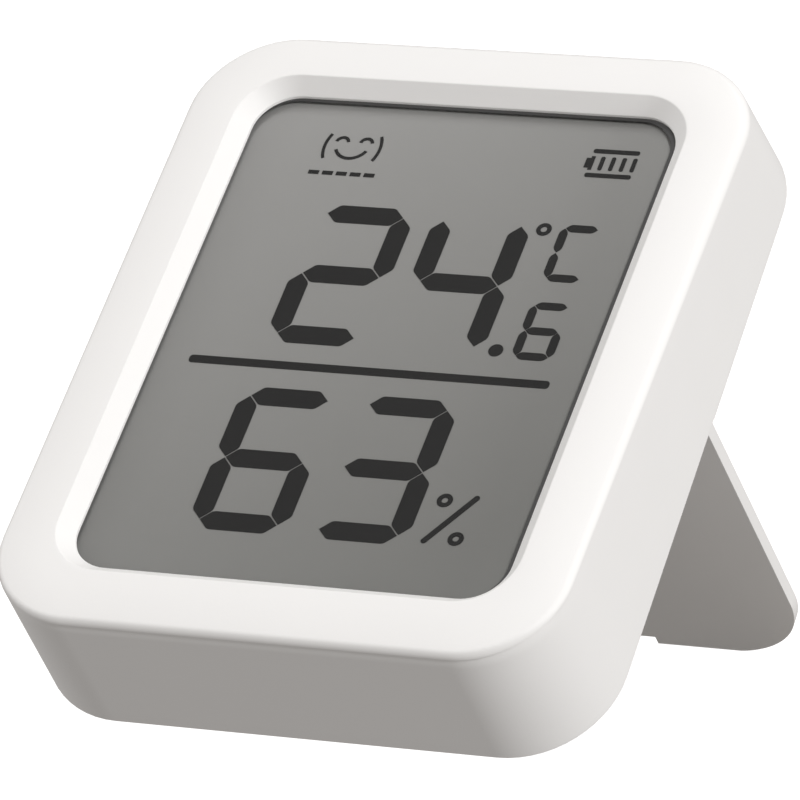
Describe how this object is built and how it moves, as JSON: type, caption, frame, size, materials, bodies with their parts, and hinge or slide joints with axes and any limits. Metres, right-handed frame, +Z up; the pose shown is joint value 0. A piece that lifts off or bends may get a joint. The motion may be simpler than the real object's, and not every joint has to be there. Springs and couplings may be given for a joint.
{
  "type": "temperature humidity sensor",
  "caption": "Small white tabletop temperature and humidity sensor with a large segment display in a bevelled window, leaning back on a fold-out stand.",
  "frame": {"origin": "on the table, in the middle of the footprint of body and opened stand", "axes": "+Z up, the display faces -Y and up, +Y runs back towards the stand's foot, +X to the display's right"},
  "size_m": [0.0646, 0.0742, 0.065],
  "materials": {
    "shell_white": "satin moulded",
    "tape_black": "matte foam adhesive",
    "window_clear": "polished clear",
    "segment_dark": "dark liquid crystal",
    "film_grey": "polarising film",
    "lcd_glass": "polished",
    "reflector": "diffuse reflector film",
    "holder_black": "moulded",
    "zebra": "layered silicone",
    "board_green": "solder mask",
    "chip_black": "moulded epoxy",
    "ceramic": "fired ceramic",
    "metal_can": "plated",
    "foam": "open foam",
    "button_grey": "satin moulded",
    "magnet": "nickel plated",
    "cell_wrap": "printed film over steel can",
    "contact": "nickel plated spring steel",
    "lead_red": "insulation",
    "lead_black": "insulation",
    "screw": "zinc plated"
  },
  "bodies": {
    "housing": {"front_shell": "shell_white", "lens_tape": "tape_black", "display_lens": "window_clear", "lcd_segments": "segment_dark", "lcd_front_film": "film_grey", "lcd_front_glass": "lcd_glass", "lcd_rear_glass": "lcd_glass", "lcd_reflector": "reflector", "display_holder": "holder_black", "zebra_strip": "zebra", "circuit_board": "board_green", "radio_chip": "chip_black", "chip_antenna": "ceramic", "crystal": "metal_can", "memory_chip": "chip_black", "passives": "ceramic", "sensor_chip": "chip_black", "sensor_foam": "foam", "tact_switch": "chip_black", "rear_cover": "shell_white", "magnet_left": "magnet", "magnet_right": "magnet", "battery_tray": "holder_black", "cell_lower": "cell_wrap", "cell_upper": "cell_wrap", "contact_bridge": "contact", "contact_positive": "contact", "contact_negative": "contact", "spring_lower": "contact", "spring_upper": "contact", "lead_red": "lead_red", "lead_black": "lead_black", "board_screws": "screw", "tray_screws": "screw", "cover_screws": "screw"},
    "battery_cover": {"battery_cover": "shell_white"},
    "stand": {"stand": "shell_white", "hinge_pins": "screw"},
    "button": {"button_cap": "button_grey", "switch_plunger": "chip_black"}
  },
  "joints": [
    {"name": "battery_cover_lift", "type": "slide", "parent": "housing", "child": "battery_cover", "axis": [0, 0.7146, -0.6995], "range_m": [0, 0.012]},
    {"name": "stand_hinge", "type": "hinge", "parent": "battery_cover", "child": "stand", "pos_m": [0, 0.00588, 0.02971], "axis": [1, 0, 0], "range_deg": [-90.8, 0]},
    {"name": "button_press", "type": "slide", "parent": "housing", "child": "button", "axis": [0, -0.7146, 0.6995], "range_m": [0, 0.0004], "stiffness_N_per_m": 800, "springref_m": -0.0003}
  ]
}
